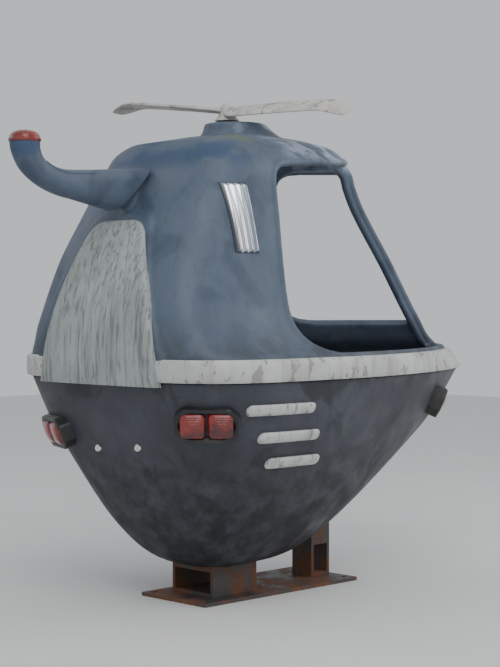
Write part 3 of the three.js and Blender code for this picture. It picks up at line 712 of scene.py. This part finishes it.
def build_cabin():
    """Upper shell with its openings, rims, centre pillar, raised back and mast fairing."""
    inner = [ring(CABIN, z + WALL, -WALL, shown_z=z)
             for z in np.linspace(ROOF_TOP_Z - WALL, SEAM_Z, 44)]
    outer = [ring(CABIN, z) for z in np.linspace(SEAM_Z, ROOF_TOP_Z, 48)]
    cabin = skin("cabin_shell", inner + outer)
    combine(cabin, prism(rounded(DOORWAY), DOOR_CUT_Y, AHEAD), "DIFFERENCE")
    combine(cabin, prism(rounded(PORT_WINDOW), PILLAR_HALF, AHEAD), "DIFFERENCE")
    combine(cabin, prism(rounded(STARBOARD_WINDOW), -AHEAD, -PILLAR_HALF), "DIFFERENCE")

    pillar_inset, rib_shift = 0.0125, np.array([0.022, 0, 0.006])
    pillar = [(skin_x(CABIN, 0.0, z) - pillar_inset, 0, z)
              for z in np.linspace(BELT_TOP_Z, 1.355, 36)]
    pillar += [(0.571, 0, 1.382), (0.555, 0, 1.404), (0.528, 0, 1.424), (0.492, 0, 1.438),
               (0.44, 0, 1.447)]
    pillar = resampled(pillar, 50)
    rib = pillar - rib_shift
    # The boom's neck is slimmer than the boom and runs along its first sections.
    neck_height, neck_width, neck_sections = 0.74, 0.40, 24
    neck = skin("neck", boom_rings(neck_height, neck_width)[:neck_sections])
    pillar_radius, rib_radius = 0.0165, 0.012
    joined(cabin, build_boss(), build_fairing(), neck, *build_rims(),
           tube("rim", pillar, pillar_radius), tube("rim", rib, rib_radius))
    settled(cabin, SHELL_VOXEL, SHELL_PASSES)

    # Clean bars over the settled ones, thinner where they run into the roof.
    cover_radius, rib_cover_radius = 0.0172, 0.0126
    last = len(pillar) - 1
    taper = np.interp(np.arange(len(pillar)), [0, last - 8, last], [1.0, 1.0, 0.55])
    joined(cabin, tube("pillar", pillar, cover_radius * taper, 24),
           tube("pillar", rib, rib_cover_radius * taper, 24))
    smooth(cabin, 60)
    dress(cabin, BLUE, "upper_gelcoat", "roof_shell", "cabin_rear", "cabin_starboard",
          "cabin_port_rear", "b_pillar", "port_coaming", "starboard_sill", "nose_cowl", "a_pillar",
          "mast_fairing")


# Tail boom stations: distance ahead, height, turn from level, half height, half width and how
# square the section is.
BOOM = [
    (-0.330, 1.2820, 180, 0.0860, 0.064, 4.2),
    (-0.420, 1.2825, 180, 0.0780, 0.057, 4.0),
    (-0.500, 1.2870, 180, 0.0670, 0.047, 2.8),
    (-0.620, 1.2990, 179, 0.0490, 0.041, 2.4),
    (-0.700, 1.3045, 174, 0.0410, 0.038, 2.1),
    (-0.762, 1.3220, 152, 0.0385, 0.0375, 2.0),
    (-0.812, 1.3540, 120, 0.0400, 0.040, 2.0),
    (-0.834, 1.3920, 98, 0.0430, 0.043, 2.0),
    (-0.838, 1.4180, 90, 0.0450, 0.045, 2.0),
]


def boom_rings(height=1.0, width=1.0):
    """Sections along the boom, with their height and width scaled."""
    around = circle(56)
    c, s = np.cos(around), np.sin(around)
    rings = []
    for x, z, turn, high, wide, square in spline(BOOM, 44):
        tilt = math.radians(turn)
        up = height * high * np.sign(c) * np.abs(c) ** (2 / square)
        out = width * wide * np.sign(s) * np.abs(s) ** (2 / square)
        rings.append(np.column_stack([x + up * math.sin(tilt), out, z - up * math.cos(tilt)]))
    return rings


def build_boom():
    """Boom with a root cut off at a slant round its neck, and a thin seam along each upper edge."""
    boom = skin("boom", boom_rings())
    past_sides = 0.2
    root = [(-0.282, 1.475), (-0.374, 1.375), (-0.508, 1.236), (-0.596, 1.136), (0.0, 1.136),
            (0.0, 1.475)]
    combine(boom, prism(root, -past_sides, past_sides), "DIFFERENCE")
    bevelled(boom, 0.003)
    seam_front_x, seam_sections, corners, seam_radius = -0.396, 26, (7, -7), 0.0028
    for corner in corners:
        seam = np.array([section[corner] for section in boom_rings()[:seam_sections]])
        joined(boom, tube("seam", seam[seam[:, 0] < seam_front_x], seam_radius))
    smooth(boom, 35)
    dress(boom, BLUE, "upper_gelcoat", "tail_boom")


def build_tub():
    """Lower shell with the doorway's notch and a rolled sill."""
    inner = [ring(HULL, z - WALL, -WALL, shown_z=z) for z in np.linspace(KEEL_Z + WALL, SEAM_Z, 40)]
    outer = [ring(HULL, z) for z in np.linspace(SEAM_Z, KEEL_Z, 48)]
    tub = skin("tub_shell", inner + outer)
    above = 0.80
    notch = rounded([(DOOR_REAR_X, DOOR_SILL_Z, 0.03), (DOOR_FRONT_X, DOOR_SILL_Z, 0.03),
                     (DOOR_FRONT_X, above, 0.02), (DOOR_REAR_X, above, 0.02)])
    combine(tub, prism(notch, DOOR_CUT_Y, AHEAD), "DIFFERENCE")
    sill = [(x, skin_y(HULL, x, DOOR_SILL_Z, -0.006), DOOR_SILL_Z)
            for x in np.linspace(DOOR_REAR_X + 0.010, DOOR_FRONT_X - 0.010, 50)]
    joined(tub, tube("rim", np.array(sill), RIM_RADIUS))
    settled(tub, SHELL_VOXEL, SHELL_PASSES)
    smooth(tub, 60)
    dress(tub, SLATE, "lower_gelcoat", "hull_keel", "hull_rear", "hull_starboard", "hull_port",
          "hull_bow")


def build_lining():
    """Floor, bench and backrest as one moulding that fills the tub's inside."""
    gap, voxel, passes = WALL + 0.003, 0.009, 6
    seat_z, seat_x, back_x, back_z, floor_z = 0.600, -0.130, -0.400, 1.000, 0.345
    below = [ring(HULL, z - WALL, -gap, shown_z=z) for z in np.linspace(0.30, SEAM_Z, 24)]
    above = [ring(CABIN, z + WALL, -gap, shown_z=z)
             for z in np.linspace(SEAM_Z + 0.01, back_z, 20)]
    body = skin("cabin_lining", below + above)
    over = back_z + 0.2
    room = rounded([(back_x, over, 0.01), (back_x, seat_z, 0.07), (seat_x, seat_z, 0.035),
                    (seat_x - 0.02, floor_z, 0.05), (AHEAD, floor_z, 0.01), (AHEAD, over, 0.01)])
    combine(body, prism(room, -AHEAD, AHEAD), "DIFFERENCE")
    settled(body, voxel, passes)
    smooth(body, 60)
    dress(body, GREY, "interior_gelcoat", "floor_panel", "bench_seat", "backrest")


# White trim.

def build_belt():
    """White band round the seam, from one side of the doorway to the other."""
    profile = [(0.001, 0.7165), (0.010, 0.7165), (0.0135, 0.722), (0.0145, 0.735), (0.0145, 0.766),
               (0.0130, 0.778), (0.008, 0.7838), (0.001, 0.7838)]
    belt = skin("white_belt", [ring(CABIN, z, grow, 320) for grow, z in profile], looped=True)
    under, over = 0.60, 0.90
    combine(belt, prism([(DOOR_REAR_X, under), (DOOR_FRONT_X, under), (DOOR_FRONT_X, over),
                         (DOOR_REAR_X, over)], 0.0, 1.0), "DIFFERENCE")
    smooth(belt, 35)
    dress(belt, WHITE, "white_gelcoat", "belt_starboard", "belt_port_rear", "belt_port_front")


def build_flutes():
    """Tapered rear panel with shallow upright flutes, foot over the belt."""
    foot_z, top_z, corner = 0.702, 1.200, 0.045
    # Half width at the foot and how far the edge bulges, to starboard and to port.
    top_half, side_shapes = 0.112, ((0.281, 0.037), (0.272, 0.0))
    ribs, across, levels = 9, 145, 90
    lift, depth, rib_height, edge_width, back = 0.0135, 0.010, 0.0045, 0.006, 0.004
    top_fade, foot_fade = 0.05, 0.03
    front, rear = [], []
    for z in np.linspace(foot_z, top_z, levels):
        share = (z - foot_z) / (top_z - foot_z)
        from_top = top_z - z
        halves = []
        for foot_half, bulge in side_shapes:
            half = foot_half + (top_half - foot_half) * share + bulge * math.sin(math.pi * share)
            if from_top < corner:
                half -= corner - math.sqrt(max(0.0, corner**2 - (corner - from_top) ** 2))
            halves.append(half)
        for u in np.linspace(-1, 1, across):
            half = halves[0] if u < 0 else halves[1]
            y = half * u
            wave = abs(math.cos(math.pi * ribs * u / 2)) ** 0.7
            edge = min(1.0, (1 - abs(u)) * half / edge_width) ** 0.5
            fade = min(1.0, from_top / top_fade) * min(1.0, (z - foot_z) / foot_fade + 0.2)
            grow = lift + depth * edge * 0.6 + rib_height * wave * fade * edge
            height = max(z, SEAM_Z)
            front.append((skin_x(CABIN, y, height, False, grow), y, z))
            rear.append((skin_x(CABIN, y, height, False, back), y, z))
    panel = sheet("rear_flutes", front, rear, across)
    dress(panel, SHADED_FLUTE_WHITE, "white_gelcoat", "rear_cowl_panel")


# Name, rear end, front end, height and side of each moulding.
MOULDINGS = [
    ("starboard_moulding_1", -0.380, -0.113, 0.633, -1),
    ("starboard_moulding_2", -0.315, -0.067, 0.548, -1),
    ("starboard_moulding_3", -0.255, -0.030, 0.467, -1),
    ("port_moulding_1", -0.190, 0.300, 0.548, 1),
    ("port_moulding_2", -0.110, 0.260, 0.467, 1),
]


def build_mouldings():
    """Round-ended strips that follow the tub's sides."""
    half_height, proud = 0.0170, 0.0145
    closer_at_ends = 0.5 - 0.5 * np.cos(np.linspace(0, math.pi, 46))
    for name, x0, x1, z, side in MOULDINGS:
        rings = []
        for x in x0 + (x1 - x0) * closer_at_ends:
            end = min(x - x0, x1 - x, half_height) / half_height
            full = max(math.sqrt(max(0.0, 1 - (1 - end) ** 2)), 0.02)
            loop = []
            for a in circle(28):
                c, s = math.cos(a), math.sin(a)
                up = half_height * full * math.copysign(abs(s) ** 0.75, s)
                out = proud * full ** 0.6 * math.copysign(abs(c) ** 0.6, c)
                loop.append((x, side * (skin_y(HULL, x, z + up) + out), z + up))
            rings.append(np.array(loop))
        strip = skin(name + "_bar", rings)
        smooth(strip, 50)
        dress(strip, STRIP_WHITE, "white_gelcoat", name)


def build_vent():
    """Corrugated bright plate with rolled ends on the starboard side."""
    foot, top = (-0.320, -0.224), (-0.333, -0.249)
    waves, across, levels = 4, 61, 60
    back, lift, ripple_height = 0.001, 0.004, 0.0040
    side_edge, end_edge = 0.04, 0.006
    front, rear = [], []
    for z in np.linspace(VENT_FOOT_Z, VENT_TOP_Z, levels):
        share = (z - VENT_FOOT_Z) / (VENT_TOP_Z - VENT_FOOT_Z)
        x0, x1 = (a + (b - a) * share for a, b in zip(foot, top))
        for u in np.linspace(0, 1, across):
            x = x0 + (x1 - x0) * u
            ripple = ripple_height * (0.5 - 0.5 * math.cos(2 * math.pi * waves * u))
            edge = min(1.0, u / side_edge, (1 - u) / side_edge, (z - VENT_FOOT_Z) / end_edge,
                       (VENT_TOP_Z - z) / end_edge)
            front.append((x, -skin_y(CABIN, x, z, lift + (0.004 + ripple) * edge), z))
            rear.append((x, -skin_y(CABIN, x, z, back), z))
    plate = sheet("vent_corrugations", front, rear, across)
    dress(plate, CHROME, "vent_chrome", "vent_plate")


# Lamps.

def octagon(length, height, depth):
    """Chamfered rectangle outline at one depth, in the lamp's own plane."""
    chamfer, corner_radius = 0.028, 0.008
    a, b = length / 2, height / 2
    corners = [(a, -b + chamfer), (a, b - chamfer), (a - chamfer, b), (-a + chamfer, b),
               (-a, b - chamfer), (-a, -b + chamfer), (-a + chamfer, -b), (a - chamfer, -b)]
    flat = rounded([(x, y, corner_radius) for x, y in corners], 0.004, 5)
    return np.column_stack([flat, np.full(len(flat), depth)])


def build_lamp(name, x, y, z, yaw, pitch, finish, slot):
    """Black bezel with two domed lenses. yaw and pitch turn it from facing +X."""
    place = (Matrix.Translation((x, y, z)) @ turned(yaw, "Z") @ turned(pitch, "Y")
             @ Matrix(((0, 0, 1, 0), (1, 0, 0, 0), (0, 1, 0, 0), (0, 0, 0, 1))))
    length, height, proud, deep = 0.194, 0.106, 0.014, 0.050
    loops = [octagon(length + 2 * grow, height + 2 * grow, depth)
             for grow, depth in ((0, -deep), (0, proud - 0.004), (-0.002, proud - 0.001),
                                 (-0.006, proud), (-0.012, proud - 0.001), (-0.016, proud - 0.006),
                                 (-0.018, proud - 0.016))]
    housing = skin(name + "_bezel", [resampled(loop, len(loops[0]), closed=True) for loop in loops])
    housing.data.transform(place)
    smooth(housing, 40)
    dress(housing, BLACK, "lamp_housing", name + "_housing")

    # Half width and rise of the lens from its foot to its crown, squarer below.
    dome = ((0.0385, -0.004), (0.0385, 0.008), (0.0375, 0.0125), (0.0350, 0.0165),
            (0.029, 0.0205), (0.020, 0.0235), (0.009, 0.025), (0.001, 0.0253))
    turn = circle(48)
    c, s = np.cos(turn), np.sin(turn)
    domes = []
    for centre in (-0.0415, 0.0415):
        rings = []
        for half, rise in dome:
            square = 2 / 5.0 if half > 0.028 else 2 / 3.0
            xs = centre + half * np.sign(c) * np.abs(c) ** square
            ys = half * np.sign(s) * np.abs(s) ** square
            rings.append(np.column_stack([xs, ys, np.full(len(turn), rise)]))
        domes.append(skin(name + "_lens_pair", rings))
    lenses = joined(*domes)
    lenses.data.transform(place)
    smooth(lenses, 45)
    dress(lenses, finish, slot, name + "_lenses")


def build_lamps():
    """A red pair at each side of the stern and a clear pair at each side of the bow."""
    build_lamp("rear_starboard_lamp", -0.475, -0.385, 0.593, -137, 16, RED, "red_lens")
    build_lamp("rear_port_lamp", -0.495, 0.290, 0.538, 158, 22, RED, "red_lens")
    for side, hand in (("port", 1), ("starboard", -1)):
        build_lamp(f"front_{side}_lamp", 0.745, hand * 0.262, 0.603, hand * 48, 24, CLEAR,
                   "clear_lens")


def build_tail_lamp():
    """Red dome on a rim at the end of the boom."""
    profile = [(0, 0.0), (0.047, 0.0), (0.0485, 0.002), (0.0485, 0.007), (0.0465, 0.009),
               (0.0455, 0.010), (0.0445, 0.016), (0.041, 0.0215), (0.035, 0.0265),
               (0.026, 0.0305), (0.014, 0.033), (0, 0.034)]
    end_x, end_z = BOOM[-1][:2]
    lamp = lathe("tail_lamp_dome", profile, place=(end_x, 0, end_z + 0.0003))
    smooth(lamp, 40)
    dress(lamp, RED, "red_lens", "tail_lamp")


# Rails.

SILL_BAR = [
    (0.336, 0.408, 0.653), (0.328, 0.474, 0.654), (0.292, 0.508, 0.655), (0.200, 0.512, 0.655),
    (0.060, 0.513, 0.655), (-0.080, 0.512, 0.655), (-0.200, 0.510, 0.655), (-0.286, 0.506, 0.656),
    (-0.308, 0.488, 0.657), (-0.314, 0.458, 0.657),
]
FRONT_HOOP = [
    (0.190, 0.512, 0.655), (0.262, 0.508, 0.705), (0.330, 0.502, 0.790), (0.380, 0.489, 0.915),
    (0.386, 0.479, 1.000), (0.345, 0.470, 1.060), (0.285, 0.468, 1.068), (0.225, 0.474, 1.005),
    (0.150, 0.489, 0.870), (0.060, 0.512, 0.655),
]
REAR_HOOP = [
    (-0.170, 0.512, 0.655), (-0.174, 0.524, 0.730), (-0.188, 0.512, 0.850), (-0.222, 0.482, 1.050),
    (-0.246, 0.470, 1.118), (-0.276, 0.466, 1.142), (-0.303, 0.468, 1.116), (-0.312, 0.474, 1.050),
    (-0.308, 0.502, 0.850), (-0.292, 0.524, 0.740), (-0.276, 0.508, 0.657),
]
CROSS_BAR = [(0.386, 0.487, 0.915), (0.275, 0.487, 0.915), (0.165, 0.487, 0.915)]


def weld(at, radius):
    """Small fillet of weld metal where two tubes meet."""
    bead = bpy.data.meshes.new("bead")
    work = bmesh.new()
    bmesh.ops.create_icosphere(work, subdivisions=3, radius=radius)
    for vertex in work.verts:
        lump = 1 + 0.08 * math.sin(19 * vertex.co.x / radius) * math.sin(17 * vertex.co.z / radius)
        vertex.co = Vector(at) + vertex.co * lump
    work.to_mesh(bead)
    work.free()
    piece = bpy.data.objects.new("bead", bead)
    scene.collection.objects.link(piece)
    return piece


def build_rails():
    """Sill bar with a hoop at each side of the doorway, welded where they meet."""
    rail_radius, cross_radius, foot_weld, cross_weld = 0.010, 0.007, 0.0135, 0.0115
    front_beads = [(FRONT_HOOP[0], foot_weld), (FRONT_HOOP[-1], foot_weld),
                   ((0.380, 0.488, 0.915), cross_weld), ((0.170, 0.487, 0.915), cross_weld)]
    rear_beads = [(REAR_HOOP[0], foot_weld), (REAR_HOOP[-1], foot_weld)]
    for piece, path, steps, node, beads in (
            ("sill_bar_tube", SILL_BAR, 90, "door_sill_bar", ()),
            ("front_hoop_tube", FRONT_HOOP, 140, "front_hoop", front_beads),
            ("rear_hoop_tube", REAR_HOOP, 140, "rear_hoop", rear_beads)):
        rail = tube(piece, spline(path, steps), rail_radius, 20)
        if path is FRONT_HOOP:
            joined(rail, tube("cross", spline(CROSS_BAR, 16), cross_radius))
        joined(rail, *[weld(*bead) for bead in beads])
        smooth(rail)
        dress(rail, ENAMEL, "rail_paint", node)


# Bolts.

def build_bolts():
    """Two dome-headed bolts on washers, square to the stern's slope."""
    radius, height = 0.0085, 0.0075
    profile = [(0, -0.004), (radius * 1.55, -0.004), (radius * 1.55, 0.0008),
               (radius * 1.5, 0.0016), (radius * 1.02, 0.0016), (radius, 0.003),
               (radius * 0.9, height * 0.75), (radius * 0.6, height * 0.95), (0, height)]
    for name, y, z in (("stern_bolt_port", 0.085, 0.501), ("stern_bolt_starboard", -0.108, 0.514)):
        over, under = (skin_x(HULL, y, z + step, False) for step in (0.01, -0.01))
        direction = Vector((-1, 0, -(over - under) / 0.02)).normalized()
        piece = lathe(name, profile, 32)
        turn = Vector((0, 0, 1)).rotation_difference(direction).to_matrix().to_4x4()
        at = Matrix.Translation((skin_x(HULL, y, z, False), y, z))
        piece.data.transform(at @ turn)
        smooth(piece, 35)
        dress(piece, BRIGHT, "rail_paint")


# Rotor.

MAST_X, ROTOR_Z = -0.020, 1.568
# The rotor's turn at rest, the blades' pitch and how the rotor leans, in degrees.
REST_DEG, PITCH_DEG, LEAN_ACROSS_DEG, LEAN_ALONG_DEG = -81, 12.5, 10, 3.5
# Blade stations: distance from the hub's middle, chord and rise.
BLADE = [
    (0.008, 0.064, 0.000), (0.035, 0.096, 0.001), (0.070, 0.106, 0.003), (0.170, 0.110, 0.010),
    (0.338, 0.110, 0.019), (0.388, 0.108, 0.020), (0.412, 0.102, 0.016), (0.446, 0.084, 0.005),
    (0.468, 0.054, -0.002),
]


def build_rotor():
    """Two pitched blades and a capped hub, which turn together."""
    thick, camber_height, sides = 0.0155, 0.004, 32
    lean = (Matrix.Translation((MAST_X, 0, ROTOR_Z)) @ turned(REST_DEG, "Z")
            @ turned(LEAN_ALONG_DEG, "Y") @ turned(LEAN_ACROSS_DEG, "X"))
    for index, turn in enumerate((0, 180), 1):
        rings = []
        for r, chord, rise in spline(BLADE, 60):
            loop = []
            for a in circle(sides):
                along = math.cos(a)
                camber = camber_height * (1 - along * along)
                up = thick / 2 * math.copysign(abs(math.sin(a)) ** 0.8, math.sin(a))
                loop.append((r, chord / 2 * along, rise + camber + up))
            rings.append(np.array(loop))
        blade = skin(f"blade_{index}", rings)
        blade.data.transform(lean @ turned(turn, "Z") @ turned(PITCH_DEG, "X"))
        smooth(blade, 60)
        dress(blade, ROTOR_WHITE, "rotor_gelcoat", f"rotor_blade_{index}", body="rotor")
    cap = [(0, 1.5375), (0.0395, 1.5375), (0.0400, 1.539), (0.0372, 1.543), (0.0312, 1.549),
           (0.0275, 1.556), (0.0252, 1.564), (0.0232, 1.576), (0.0205, 1.585), (0.0165, 1.591),
           (0.009, 1.595), (0, 1.596)]
    hub = lathe("hub_cap", cap, 56, place=(MAST_X, 0, 0))
    smooth(hub, 40)
    dress(hub, ROTOR_WHITE, "rotor_gelcoat", "rotor_hub", body="rotor")


def dress_steel():
    """Rusty paint on the solids that show as they are."""
    for name in ("foot_plate", "keel_bracket", "bow_lug", "mast_spindle"):
        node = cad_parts[name]
        node.data.materials.clear()
        node.data.materials.append(STEEL)


build_cabin()
build_boom()
build_tub()
build_lining()
build_belt()
build_flutes()
build_mouldings()
build_vent()
build_lamps()
build_tail_lamp()
build_rails()
build_bolts()
build_rotor()
dress_steel()


# Floor, light and camera.

def build_stage():
    """Pale plain floor under soft, slightly blue air."""
    half = 9
    corners = [(-half, -half, 0), (half, -half, 0), (half, half, 0), (-half, half, 0)]
    floor = mesh_object("studio_floor", corners, [(0, 1, 2, 3)])
    pale = Finish("studio_pale")
    tone = pale.mix(pale.noise(1.2), (0.68, 0.68, 0.67), (0.74, 0.74, 0.73))
    floor.data.materials.append(pale.set(Base_Color=tone, Roughness=0.8))

    world = bpy.data.worlds.new("studio_air")
    world.use_nodes = True
    air = world.node_tree.nodes["Background"].inputs
    air["Color"].default_value = (0.90, 0.93, 0.97, 1)
    air["Strength"].default_value = 0.70
    scene.world = world


def placed(name, data, at, aim):
    """A light or camera at one point, facing another."""
    holder = bpy.data.objects.new(name, data)
    holder.location = at
    holder.rotation_euler = (Vector(aim) - Vector(at)).to_track_quat("-Z", "Y").to_euler()
    scene.collection.objects.link(holder)
    return holder


def area_light(name, at, aim, size, power):
    """Soft round light."""
    light = bpy.data.lights.new(name, "AREA")
    light.shape = "DISK"
    light.size = size
    light.energy = power
    placed(name, light, at, aim)


def build_camera():
    """Level view of the stern and starboard side, from the photographer's height."""
    camera = bpy.data.cameras.new("view")
    camera.sensor_fit = "HORIZONTAL"
    camera.sensor_width = 36.0
    camera.lens = 118.0
    camera.clip_end = 60.0
    scene.camera = placed("view", camera, (-3.739, -3.841, 0.970), (0.085, 0.0, 0.845))


build_stage()
area_light("sky_key", (-2.4, -3.2, 4.2), (0, 0, 0.8), 3.6, 120)
area_light("sky_fill", (3.6, -2.8, 2.8), (0, 0, 0.8), 3.6, 70)
area_light("sky_back", (-1.5, 3.8, 3.4), (0, 0, 0.9), 3.0, 14)
build_camera()
